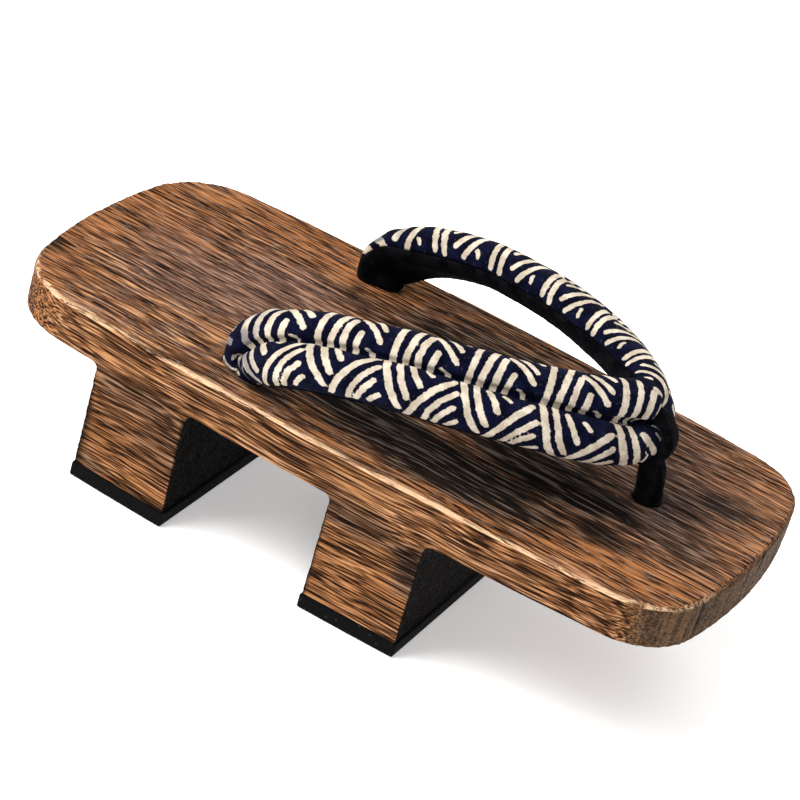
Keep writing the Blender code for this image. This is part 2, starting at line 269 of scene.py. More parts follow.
def colourAndRoughness(tree, shader, colour, roughness):
    tree.links.new(colour, shader.inputs["Base Color"])
    tree.links.new(roughness, shader.inputs["Roughness"])


def newGroup(name, inputs, outputs):
    # a node group with a place and the named numbers going in, and the named values coming out
    tree = bpy.data.node_groups.new(name, "ShaderNodeTree")
    tree.interface.new_socket("Place", in_out="INPUT", socket_type="NodeSocketVector")
    for label, value in inputs.items():
        socket = tree.interface.new_socket(label, in_out="INPUT", socket_type="NodeSocketFloat")
        socket.default_value = value
    for label in outputs:
        tree.interface.new_socket(label, in_out="OUTPUT", socket_type="NodeSocketFloat")
    return tree, tree.nodes.new("NodeGroupInput").outputs, tree.nodes.new("NodeGroupOutput").inputs


def groupNode(tree, group, place, **values):
    node = addNode(tree, "Group")
    node.node_tree = group
    for label, value in {"Place": place, **values}.items():
        feed(tree, node.inputs[label], value)
    return node.outputs


# shared effects
def buildFibreLines():
    # long thin fibres along X: Across is one line's width, Along its length, both in metres
    inputs = {"Across": 0.0008, "Along": 0.02, "Waver": 0.0006}
    tree, start, end = newGroup("fibreLines", inputs, ("Height", "Fine"))
    split = splitPlace(tree, start["Place"])
    sway = addNode(tree, "SeparateColor", Color=noiseNode(tree, start["Place"], 28.0, 1.0)["Color"])
    gathered = addNode(tree, "CombineXYZ")
    tree.links.new(mathNode(tree, "DIVIDE", split[0], start["Along"]), gathered.inputs[0])
    reach = timesNode(tree, start["Waver"], 8.0)
    for axis, part in ((1, "Green"), (2, "Blue")):
        shift = mathNode(tree, "SUBTRACT", sway.outputs[part], 0.5)
        moved = mathNode(tree, "MULTIPLY_ADD", shift, reach, split[axis])
        tree.links.new(mathNode(tree, "DIVIDE", moved, start["Across"]), gathered.inputs[axis])
    # turned about the fibres, because a flat face that lies along the noise's own cells shows them as stripes
    turned = addNode(tree, "VectorRotate")
    turned.rotation_type = "X_AXIS"
    feed(tree, turned.inputs["Angle"], 0.62)
    feed(tree, turned.inputs["Vector"], gathered.outputs[0])
    for label, scale, detail in (("Height", 1.0, 0.3), ("Fine", 1.45, 1.0)):
        lines = noiseNode(tree, turned.outputs[0], scale, detail, 0.55)
        tree.links.new(rangeNode(tree, lines["Fac"], 0.30, 0.70), end[label])
    return tree


def buildThreadWeave():
    # over and under threads on the cloth's own along and around places, in metres
    tree, start, end = newGroup("threadWeave", {"Thread": 0.00055}, ("Height", "Slub"))
    split = splitPlace(tree, start["Place"])
    turn = mathNode(tree, "DIVIDE", math.pi, start["Thread"])
    waves = [mathNode(tree, "SINE", timesNode(tree, split[axis], turn)) for axis in (0, 1)]
    slub = noiseNode(tree, start["Place"], 900.0, 3.0)["Fac"]
    tree.links.new(mathNode(tree, "MULTIPLY_ADD", timesNode(tree, *waves), 0.5, slub), end["Height"])
    tree.links.new(slub, end["Slub"])
    return tree


def buildSoftNap():
    # short pile: fine tufts with soft, brushed patches
    tree, start, end = newGroup("softNap", {"Tuft": 0.0004}, ("Height", "Brushed"))
    scaled = scaledPlace(tree, start["Place"], start["Tuft"])
    tree.links.new(noiseNode(tree, scaled, 0.6, 3.0, 0.7)["Fac"], end["Height"])
    patches = noiseNode(tree, scaled, 0.08)["Fac"]
    tree.links.new(rangeNode(tree, patches, 0.38, 0.66), end["Brushed"])
    return tree


def buildDustSpecks():
    # sparse pale specks of dust, Amount from 0 to 1
    tree, start, end = newGroup("dustSpecks", {"Size": 0.0008, "Amount": 0.3}, ("Mask",))
    specks = addNode(tree, "TexVoronoi", Vector=scaledPlace(tree, start["Place"], start["Size"]), Scale=0.35)
    near = rangeNode(tree, specks.outputs["Distance"], 0.22, 0.06)
    tree.links.new(timesNode(tree, near, start["Amount"]), end["Mask"])
    return tree


fibreLines = buildFibreLines()
threadWeave = buildThreadWeave()
softNap = buildSoftNap()
dustSpecks = buildDustSpecks()
print("shared effects built")


# the wooden block
wood = {
    "topStep": (0.0045, 0.00038),  # cell of the board's top, along and across
    "underStep": (0.0070, 0.00120),
    "sideStep": (0.0045, 0.00038),
    "endStep": (0.00100, 0.00100),
    "toothEndStep": (0.00170, 0.00170),
    "grooveDepth": 0.00030,
    "fibreCell": (0.020, 0.00130, 0.00130),  # cells of the brushed relief
    "bandCell": (0.060, 0.0022, 0.0022),
    "specular": 0.02,
    "bump": (0.60, 0.00032),
    "midTone": (0.28, 0.48),  # where the tone turns from groove to middle, and from middle to ridge
    "ridgeTone": (0.52, 0.83),
    "dullShare": 0.72,
    "glowShare": 0.82,
    "glintShare": 0.30,
    "charShare": 0.96,
    "rimHighlightShare": 0.88,
    # strength of the painted highlight along the near rim
    "heelShade": 0.30,
    "grooveColour": (0.0150, 0.0070, 0.0040),
    "midColour": (0.118, 0.050, 0.021),
    "ridgeColour": (0.41, 0.190, 0.078),
    "charColour": (0.0046, 0.0038, 0.0034),
    "charRidgeColour": (0.108, 0.082, 0.066),
    "plumColour": (0.068, 0.038, 0.030),
    "paleRidgeColour": (0.49, 0.265, 0.138),
    "plumRidgeColour": (0.250, 0.135, 0.090),
    "glowColour": (0.31, 0.112, 0.030),
    # colour of the painted highlight along the near rim
    "rimHighlightColour": (0.80, 0.52, 0.32),
    # near black: soot, and painted shade on the teeth's faces
    "sootAndShadeColour": (0.0012, 0.0009, 0.0008),
    "endDarkColour": (0.034, 0.021, 0.014),
    "endPaleColour": (0.150, 0.086, 0.048),
    "glintColour": (0.56, 0.42, 0.33),
}
# lines in the wood's colour: width on the sawn sides, what the brushed top adds to it, length and waver
woodLines = {
    "fibres": (0.00052, 0.00032, 0.0340, 0.0004),
    "streaks": (0.00046, 0.00018, 0.0085, 0.0004),
    "broad": (0.0024, 0.0, 0.040, 0.0008),
    "patches": (0.0046, 0.0, 0.0110, 0.0006),
    "endLines": (0.0011, 0.0, 0.0300, 0.0003),
    "endCracks": (0.0036, 0.0, 0.0400, 0.0006),
}
# how much each kind of line counts in the wood's tone; where there are two numbers, the top adds the first
lineShares = {
    "broad": 0.11,
    "relief": 0.08,
    "fine": 0.10,
    "sides": 0.012,
    "fibres": (-0.12, 0.44),
    "streaks": (0.14, 0.24),
    "ends": (0.30, 0.62),
}

# soft patches on the block: centre (x, y, z), reach (x, y, z) and strength
charPatches = [
    ((0.020, -0.034, boardTop), (0.070, 0.014, 0.006), 1.0),
    ((0.035, -0.046, boardTop), (0.040, 0.007, 0.006), 0.65),
    ((0.060, -0.014, boardTop), (0.038, 0.018, 0.006), 1.00),
    ((0.030, 0.028, boardTop), (0.070, 0.022, 0.006), 0.75),
    ((-0.030, -0.047, boardTop), (0.016, 0.006, 0.005), 0.60),
    ((-0.124, -0.030, boardTop - 0.003), (0.010, 0.030, 0.004), 0.75),
    ((-0.064, -halfWidth, 0.038), (0.028, 0.020, 0.008), 0.48),
    ((-0.052, -halfWidth, 0.028), (0.016, 0.020, 0.018), 0.46),
    ((0.014, -halfWidth, 0.038), (0.022, 0.020, 0.008), 0.50),
    ((-0.072, -halfWidth, 0.028), (0.010, 0.020, 0.010), 0.40),
    ((-0.074, -halfWidth, 0.008), (0.014, 0.020, 0.005), 0.50),
    ((0.040, -halfWidth, 0.030), (0.012, 0.020, 0.012), 0.60),
    ((0.062, -0.036, boardTop), (0.034, 0.010, 0.005), 0.55),
    ((0.095, -0.004, boardTop), (0.024, 0.026, 0.005), 0.50),
    ((0.105, 0.016, boardTop), (0.016, 0.009, 0.005), 0.60),
    ((0.108, -0.016, boardTop), (0.016, 0.012, 0.005), 0.55),
    ((0.082, -0.030, boardTop), (0.020, 0.010, 0.005), 0.60),
    ((0.000, 0.000, boardTop), (0.060, 0.030, 0.005), 0.40),
]
plumPatches = [
    ((-0.062, 0.002, boardTop), (0.060, 0.036, 0.008), 0.90),
    ((-0.010, 0.020, boardTop), (0.040, 0.020, 0.008), 0.45),
    ((0.092, 0.004, boardTop), (0.034, 0.046, 0.008), 0.95),
    ((0.050, 0.030, boardTop), (0.050, 0.030, 0.008), 0.80),
]
glowPatches = [
    ((-0.118, 0.000, boardTop), (0.014, 0.060, 0.010), 0.85),
    ((-0.112, -0.045, 0.050), (0.016, 0.020, 0.020), 0.70),
    ((0.030, -0.054, boardTop), (0.070, 0.008, 0.006), 0.60),
    ((0.094, -0.040, boardTop), (0.042, 0.018, 0.008), 1.00),
    ((0.112, 0.000, boardTop), (0.016, 0.044, 0.008), 0.70),
    ((0.110, 0.030, boardTop), (0.022, 0.030, 0.008), 0.45),
    ((-0.060, 0.046, boardTop), (0.060, 0.018, 0.008), 1.00),
    ((-0.100, 0.030, boardTop), (0.030, 0.030, 0.008), 0.60),
    ((-0.066, -halfWidth, 0.020), (0.030, 0.020, 0.018), 0.60),
    ((0.022, -halfWidth, 0.020), (0.030, 0.020, 0.018), 0.50),
]


def cutByPlanes(maker, faces, axis, places):
    # halves the faces at the middle place, then each half at its own places
    if not faces or not len(places):
        return list(faces)
    middle = len(places) // 2
    way = Vector([float(k == axis) for k in range(3)])
    edges = {edge for face in faces for edge in face.edges}
    verts = {vert for face in faces for vert in face.verts}
    made = bmesh.ops.bisect_plane(
        maker, geom=[*faces, *edges, *verts], dist=0.000001, plane_co=way * places[middle], plane_no=way
    )
    low, high = [], []
    for item in made["geom"]:
        if isinstance(item, bmesh.types.BMFace):
            (low if item.calc_center_median()[axis] < places[middle] else high).append(item)
    low = cutByPlanes(maker, low, axis, places[:middle])
    return low + cutByPlanes(maker, high, axis, places[middle + 1:])


def gridPlaces(low, high, step):
    count = int((high - low) / step)
    return [low + (k + 0.5) * (high - low) / count for k in range(count)]


def patchMask(points, patches, wander):
    total = np.zeros(len(points))
    for centre, reach, strength in patches:
        away = np.sqrt((((points - np.array(centre)) / np.array(reach)) ** 2).sum(axis=1))
        total = np.maximum(total, strength * smoothStep(1.25, 0.35, away + wander))
    return total


def buildWood(material):
    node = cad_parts["wood_base"]
    maker = bmesh.new()
    maker.from_mesh(node.data)
    bmesh.ops.remove_doubles(maker, verts=maker.verts, dist=0.00001)
    maker.normal_update()
    kinds = {"top": [], "under": [], "side": [], "end": [], "toothEnd": []}
    for face in maker.faces:
        way = face.normal
        middle = face.calc_center_median()
        if way.z > 0.75:
            kinds["top"].append(face)
        elif way.z < -0.75:
            if middle.z > boardLow.z + 0.002:
                kinds["under"].append(face)
        elif abs(way.y) > 0.6:
            kinds["side"].append(face)
        elif middle.z > boardBottom - 0.001:
            kinds["end"].append(face)
        else:
            kinds["toothEnd"].append(face)
    # each kind is cut across its second axis and then across its first
    cutAxes = {"top": (0, 1), "under": (0, 1), "side": (0, 2), "end": (1, 2), "toothEnd": (1, 2)}
    reaches = ((boardLow.x, boardHigh.x), (-halfWidth, halfWidth), (boardLow.z, boardTop))
    for kind, axes in cutAxes.items():
        for axis, step in reversed(list(zip(axes, wood[kind + "Step"]))):
            kinds[kind] = cutByPlanes(maker, kinds[kind], axis, gridPlaces(*reaches[axis], step))
    bmesh.ops.triangulate(maker, faces=[f for f in maker.faces if len(f.verts) > 4])
    mesh = bpy.data.meshes.new("wood_block")
    maker.to_mesh(mesh)
    maker.free()
    flatNormals = mesh.attributes.get("custom_normal")
    if flatNormals:  # the solid's own normals would hide the brushed relief
        mesh.attributes.remove(flatNormals)
    points, normals = readMesh(mesh)
    sway = softNoise(points, (0.045, 0.020, 0.020), 3.0) - 0.5
    bent = points + np.outer(sway, (0.0, 0.0016, 0.0022))
    fibre = softNoise(bent, wood["fibreCell"], 1.0)
    band = softNoise(bent, wood["bandCell"], 2.0)
    grain = smoothStep(0.15, 0.85, 0.62 * fibre + 0.38 * band)
    wander = 0.5 * (softNoise(points, (0.030, 0.006, 0.006), 4.0) - 0.5)
    wander = wander + 0.35 * (softNoise(points, (0.012, 0.0016, 0.0016), 5.0) - 0.5)
    # the saw's faces are burnt black and darkened further with painted shade, and so is the lowest edge, whose
    # normals lean down
    facing = np.abs(normals[:, 0])
    sawn = np.where(points[:, 2] < boardLow.z + 0.0005, 1.4 * facing, facing)
    toothFace = smoothStep(0.48, 0.70, sawn) * smoothStep(0.0435, 0.0415, points[:, 2])
    rounded = smoothStep(0.05, 0.25, normals[:, 2]) * smoothStep(0.985, 0.90, normals[:, 2])
    rim = rounded * smoothStep(boardTop - 0.004, boardTop - 0.002, points[:, 2])
    boardEnd = smoothStep(boardBottom - 0.002, boardBottom + 0.001, points[:, 2])
    boardEnd = boardEnd * smoothStep(0.6, 0.3, normals[:, 2])
    masks = {
        "grain": grain,
        "char": patchMask(points, charPatches, wander),
        # the teeth's faces: soot with painted shade
        "sootAndShade": 0.995 * toothFace,
        "top": smoothStep(0.60, 0.90, normals[:, 2]),
        "plum": patchMask(points, plumPatches, wander),
        "glow": patchMask(points, glowPatches, wander),
        # the near side's rim only: this is where the painted highlight goes
        "rim": rim * smoothStep(-0.02, -0.045, points[:, 1]),
        "heelEnd": smoothStep(0.55, 0.85, facing) * (points[:, 0] < 0.0),
        "toeEnd": boardEnd * smoothStep(0.25, 0.60, facing) * (points[:, 0] > 0.09),
    }
    for name, values in masks.items():
        keepMask(mesh, name, values)
    deep = (1.0 - grain) * wood["grooveDepth"]
    worn = rim * wood["grooveDepth"] * 1.4 * softNoise(points, (0.006, 0.0012, 0.003), 6.0)
    lowEdge = smoothStep(boardLow.z, boardLow.z + 0.001, points[:, 2])
    pushPoints(mesh, points, normals, -lowEdge * (deep + worn))
    return finishPiece("wood_block", mesh, material, ["wood_base"])


def linesNode(tree, place, top, name):
    across, extra, along, waver = woodLines[name]
    if extra:
        across = mathNode(tree, "MULTIPLY_ADD", top, extra, across)
    return groupNode(tree, fibreLines, place, Across=across, Along=along, Waver=waver)


def buildWoodMaterial():
    material, tree, shader = newMaterial("burntWood", 0.5, wood["specular"])
    place = placeNode(tree)
    maskNames = ("top", "grain", "plum", "glow", "char", "sootAndShade", "rim", "heelEnd", "toeEnd")
    masks = {name: attributeNode(tree, name) for name in maskNames}
    top = masks["top"]
    names = ("fibres", "streaks", "broad", "patches")
    fibres, streaks, broad, patches = [linesNode(tree, place, top, name) for name in names]
    longShare, shortShare = [mathNode(tree, "MULTIPLY_ADD", top, *lineShares[name]) for name in names[:2]]
    tone = weighedSum(
        tree,
        (broad["Height"], lineShares["broad"]),
        (masks["grain"], lineShares["relief"]),
        (fibres["Fine"], lineShares["fine"]),
        (fibres["Height"], longShare),
        (mathNode(tree, "SUBTRACT", 1.0, top), lineShares["sides"]),
        (streaks["Height"], shortShare),
    )
    toRidge = rangeNode(tree, tone, *wood["ridgeTone"])
    toMid = rangeNode(tree, tone, *wood["midTone"])
    # tan ridges over dark grooves, dulled in patches
    base = mixColour(tree, toMid, wood["grooveColour"], wood["midColour"])
    dull = timesNode(tree, rangeNode(tree, patches["Fine"], 0.35, 0.80), wood["dullShare"])
    dulled = mathNode(tree, "MAXIMUM", masks["plum"], timesNode(tree, dull, top))
    pale = rangeNode(tree, broad["Fine"], 0.35, 0.85)
    tanned = mixColour(tree, pale, wood["ridgeColour"], wood["paleRidgeColour"])
    ridgeTint = mixColour(tree, dulled, tanned, wood["plumRidgeColour"])
    plum = mixColour(tree, timesNode(tree, dulled, toMid), base, wood["plumColour"])
    ridged = mixColour(tree, toRidge, plum, ridgeTint)
    # orange where the flame was light, a few glints, and char where it was strong
    glowTone = timesNode(tree, masks["glow"], rangeNode(tree, tone, 0.35, 0.75))
    glowing = mixColour(tree, timesNode(tree, glowTone, wood["glowShare"]), ridged, wood["glowColour"])
    glint = timesNode(tree, rangeNode(tree, streaks["Fine"], 0.94, 1.0, 0.0, wood["glintShare"]), top)
    glinting = mixColour(tree, glint, glowing, wood["glintColour"])
    charred = mixColour(tree, toRidge, wood["charColour"], wood["charRidgeColour"])
    toChar = rangeNode(tree, masks["char"], 0.12, 0.75, 0.0, wood["charShare"])
    burnt = mixColour(tree, toChar, glinting, charred)
    # the toe end: upright lines and dark cracks, so X and Z change places there
    x, y, z = splitPlace(tree, place)
    swapped = addNode(tree, "CombineXYZ", X=z, Y=y, Z=x).outputs[0]
    endLines, endCracks = [linesNode(tree, swapped, top, name) for name in ("endLines", "endCracks")]
    lineShare, toneShare = lineShares["ends"]
    endTone = weighedSum(tree, (tone, toneShare), (endLines["Height"], lineShare))
    endTone = rangeNode(tree, endTone, 0.10, 0.85)
    smoothEnd = mixColour(tree, endTone, wood["endDarkColour"], wood["endPaleColour"])
    crackMask = rangeNode(tree, endCracks["Fine"], 0.10, 0.01, 0.0, 0.85)
    cracked = mixColour(tree, crackMask, smoothEnd, wood["sootAndShadeColour"])
    toed = mixColour(tree, masks["toeEnd"], burnt, cracked)
    # soot on the sawn faces, with painted shade on the teeth's faces, and a painted highlight, broken in
    # places, along the near rim
    heelShade = timesNode(tree, masks["heelEnd"], wood["heelShade"])
    ended = mixColour(tree, mathNode(tree, "MAXIMUM", heelShade, masks["sootAndShade"]), toed, wood["sootAndShadeColour"])
    # breaks in the painted highlight along the near rim
    highlightBreaks = weighedSum(tree, (broad["Fine"], 0.5), (streaks["Fine"], 0.5))
    rimHighlightTone = timesNode(tree, masks["rim"], rangeNode(tree, highlightBreaks, 0.34, 0.62))
    rimHighlighted = mixColour(tree, timesNode(tree, rimHighlightTone, wood["rimHighlightShare"]), ended, wood["rimHighlightColour"])
    colourAndRoughness(tree, shader, rimHighlighted, rangeNode(tree, tone, 0.2, 0.9, 0.72, 0.38))
    bumpInto(tree, shader, tone, *wood["bump"])
    return material


woodMaterial = buildWoodMaterial()
woodBlock = buildWood(woodMaterial)
print("wooden block cut and brushed:", len(woodBlock.data.polygons), "faces")


# the padded strap
strap = {
    "lobeRadius": 0.0072,
    "holeX": -0.038,
    "holeY": 0.043,
    "apexX": 0.0765,
    "rise": 0.0285,
    "seamAngle": 24.0,
    "underFlat": 0.93,
    "liningThickness": 0.0015,
    "liningGap": 0.0005,
    "stemRadius": 0.0034,
    "stemReach": 0.0092,
    "sections": 320,
    "lobeSteps": 44,
    "bellySteps": 6,
    "grooveDepth": 0.0011,
    "puckerDepth": 0.00045,
    "lumpDepth": 0.00040,
    "creaseDepth": 0.0016,
    "creaseWidth": 0.0035,
}

# the band's course from its rear hole to the apex: shares of the sizes above, then turn and lift in degrees
bandRows = [
    (0.000, 1.000, 0.014, 0.66, 0.70, 0.46, 75, 0),
    (0.000, 1.004, 0.150, 0.74, 0.71, 0.53, 66, 2),
    (0.034, 1.052, 0.355, 0.88, 0.80, 0.67, 50, 11),
    (0.110, 1.090, 0.565, 0.97, 0.95, 0.81, 30, 20),
    (0.215, 1.080, 0.730, 1.00, 1.00, 0.87, 16, 25),
    (0.335, 1.035, 0.845, 1.00, 1.00, 0.87, 12, 27),
    (0.465, 0.955, 0.915, 1.00, 1.00, 0.87, 16, 28),
    (0.600, 0.840, 0.950, 1.00, 1.00, 0.87, 24, 30),
    (0.735, 0.680, 0.960, 1.00, 1.00, 0.87, 28, 34),
    (0.850, 0.500, 0.945, 1.00, 1.00, 0.87, 32, 42),
    (0.935, 0.310, 0.920, 1.00, 0.98, 0.87, 40, 52),
    (0.983, 0.140, 0.905, 0.98, 0.88, 0.87, 60, 62),
    (1.000, 0.000, 0.900, 0.96, 0.76, 0.87, 90, 68),
]


def bandStations():
    stations = []
    for along, across, rise, inner, outer, gape, turn, lift in bandRows:
        x = strap["holeX"] + along * (strap["apexX"] - strap["holeX"])
        place = [x, -across * strap["holeY"], boardTop + rise * strap["rise"]]
        turn, lift = math.radians(turn), math.radians(lift)
        way = [-math.sin(turn) * math.cos(lift), math.cos(turn) * math.cos(lift), math.sin(lift)]
        sizes = [share * strap["lobeRadius"] for share in (inner, outer, gape)]
        stations.append([*place, *sizes, *way])
    stations[-1][7] = 0.0
    stations = np.array(stations)
    mirrored = stations[-2::-1].copy()
    mirrored[:, [1, 7]] *= -1.0  # the far half has its place and its way turned over in Y
    return np.concatenate((stations, mirrored))


def smoothRows(rows, knots, places):
    slopes = np.gradient(rows, knots, axis=0)
    spot = np.clip(np.searchsorted(knots, places, side="right") - 1, 0, len(rows) - 2)
    span = (knots[spot + 1] - knots[spot])[:, None]
    t = (places - knots[spot])[:, None] / span
    made = (2 * t**3 - 3 * t**2 + 1) * rows[spot] + (t**3 - 2 * t**2 + t) * span * slopes[spot]
    return made + (3 * t**2 - 2 * t**3) * rows[spot + 1] + (t**3 - t**2) * span * slopes[spot + 1]


def bandFrames(count):
    # centre, way to the inner lobe, way off the foot, lobe sizes, and the length so far
    stations = bandStations()
    steps = np.linalg.norm(np.diff(stations[:, :3], axis=0), axis=1)
    knots = np.concatenate(([0.0], np.cumsum(steps)))
    places = np.linspace(0.0, knots[-1], count)
    rows = smoothRows(stations, knots, places)
    runs = np.gradient(stations[:, :3], knots, axis=0)
    runs[0] = (0.0, 0.0, 1.0)
    runs[-1] = (0.0, 0.0, -1.0)
    runs = np.stack([np.interp(places, knots, runs[:, k]) for k in range(3)], axis=1)
    frames = []
    for row, run, place in zip(rows, runs, places):
        run = Vector(run).normalized()
        inner = Vector(row[6:9])
        inner = (inner - run * inner.dot(run)).normalized()
        frames.append((Vector(row[:3]), inner, run.cross(inner), row[3], row[4], row[5], place))
    return frames, knots[-1]


def lobePoint(radius, degrees):
    angle = math.radians(degrees)
    height = radius * math.sin(angle)
    return radius * math.cos(angle), height if height > 0.0 else strap["underFlat"] * height


def crownPoints(inner, outer, gape, steps):
    # over the top from the inner seam to the outer seam: (across, up, way round in metres from the groove)
    seam = strap["seamAngle"]
    innerTop = math.degrees(math.acos(max(-gape / inner, -1.0)))
    outerTop = math.degrees(math.acos(max(-gape / outer, -1.0)))
    innerSide, outerSide = [], []
    for k in range(steps):
        degrees = -seam + (innerTop + seam) * k / steps
        across, up = lobePoint(inner, degrees)
        innerSide.append((gape + across, up, inner * math.radians(innerTop - degrees)))
        degrees = -seam + (outerTop + seam) * k / steps
        across, up = lobePoint(outer, degrees)
        outerSide.append((-gape - across, up, -outer * math.radians(outerTop - degrees)))
    valley = min(inner * math.sin(math.radians(innerTop)), outer * math.sin(math.radians(outerTop)))
    return innerSide + [(0.0, valley, 0.0)] + list(reversed(outerSide))


def bellyPoints(inner, outer, gape, inset, steps):
    innerSide, outerSide = [], []
    for k in range(steps + 1):
        degrees = -strap["seamAngle"] - (90.0 - strap["seamAngle"]) * k / steps
        across, up = lobePoint(inner - inset, degrees)
        innerSide.append((gape + across, up))
        across, up = lobePoint(outer - inset, degrees)
        outerSide.append((-gape - across, up))
    middle = -0.9 * strap["underFlat"] * (min(inner, outer) - inset)
    return outerSide + [(0.0, middle)] + list(reversed(innerSide))


# The cloth's strokes in millimetres: three points (along, from the groove) and half the stroke's width.
clothRepeat = 23.1
clothDrift = 1.3  # how far the outer lobe's strokes move from the groove with each repeat after the second
innerStrokes = [
    ((0.0, -1.0), (0.3, 6.0), (2.4, 17.5), 1.00),
    ((3.7, -1.0), (4.5, 6.0), (7.6, 15.5), 1.00),
    ((7.8, -1.0), (8.1, 5.5), (10.0, 11.0), 0.98),
    ((11.6, -1.0), (11.9, 3.0), (12.7, 6.4), 0.96),
    ((15.0, 1.9), (16.2, 1.2), (17.4, 0.2), 0.60),
    ((11.5, 12.4), (15.4, 9.0), (18.6, 5.0), 0.92),
    ((14.6, 14.4), (17.0, 12.0), (19.5, 9.0), 0.84),
    ((18.5, 19.0), (19.6, 16.5), (21.2, 14.0), 0.88),
]
farInnerStrokes = [
    ((-0.6, -1.0), (1.4, 9.0), (4.4, 20.0), 0.98),
    ((3.8, 3.0), (5.2, 11.0), (8.4, 20.5), 0.98),
    ((13.4, -0.5), (11.6, 5.0), (8.6, 11.0), 0.95),
    ((17.4, -0.5), (15.4, 8.0), (11.8, 17.0), 0.98),
    ((20.6, 3.0), (19.0, 11.0), (15.8, 20.0), 0.98),
    ((20.2, 16.4), (20.6, 17.4), (21.2, 18.6), 0.70),
]
outerStrokes = [
    ((-1.4, -1.0), (0.9, 8.0), (6.0, 16.4), 1.02),
    ((2.6, -1.0), (4.2, 6.0), (7.8, 12.4), 0.98),
    ((6.8, 0.5), (8.2, 3.8), (10.4, 7.6), 0.92),
    ((11.6, 1.2), (12.4, 2.2), (13.2, 3.2), 0.72),
    ((8.6, 19.4), (12.2, 11.0), (19.8, 2.6), 0.98),
    ((13.4, 19.4), (15.6, 13.0), (21.0, 6.9), 0.88),
    ((16.4, 19.4), (17.8, 15.2), (21.2, 11.4), 0.90),
    ((20.2, 18.8), (21.4, 16.8), (23.0, 15.4), 0.80),
]


def strokeList(strokes, length, shift, drift, seed):
    # the strokes laid along one half of the band, each a little uneven
    source = random.Random(seed)
    laid = []
    for turn in range(-1, int(length / clothRepeat) + 2):
        move = np.array((turn * clothRepeat + shift, drift * max(turn - 1, 0)))
        for start, middle, end, half in strokes:
            spots = []
            for spot in (start, middle, end):
                uneven = np.array((source.uniform(-0.3, 0.3), source.uniform(-0.3, 0.3)))
                lower = move if spot[1] > 0.0 else np.array((move[0], 0.0))
                spots.append(np.array(spot) + lower + uneven)
            laid.append((*spots, half * source.uniform(0.93, 1.07)))
    return laid


def distanceToStrokes(places, strokes):
    # millimetres outside (+) or inside (-) the nearest stroke
    nearest = np.full(len(places), 9.0)
    for start, middle, end, half in strokes:
        early = (start + 2 * middle) / 3 + (middle - (start + end) / 2) * 0.12
        late = (end + 2 * middle) / 3 + (middle - (start + end) / 2) * 0.12
        for a, b in ((start, early), (early, late), (late, end)):
            way = b - a
            share = np.clip(((places - a) @ way) / (way @ way), 0.0, 1.0)
            away = np.linalg.norm(places - a - share[:, None] * way, axis=1)
            nearest = np.minimum(nearest, away - half)
    return nearest


def clothDistance(along, around, halfLength):
    # along and around in millimetres; the inner lobe has around above zero
    result = np.full(len(along), 9.0)
    nearHalf = along <= halfLength
    mirrored = np.where(nearHalf, along, 2 * halfLength - along)
    halves = ((nearHalf, innerStrokes, 11.4, 11), (~nearHalf, farInnerStrokes, 4.0, 23))
    for half, inside, shift, seed in halves:
        for lobe, strokes, drift in ((around >= 0, inside, 0.0), (around < 0, outerStrokes, clothDrift)):
            chosen = half & lobe
            places = np.stack((mirrored[chosen], np.abs(around[chosen])), axis=1)
            result[chosen] = distanceToStrokes(places, strokeList(strokes, halfLength, shift, drift, seed))
    return result


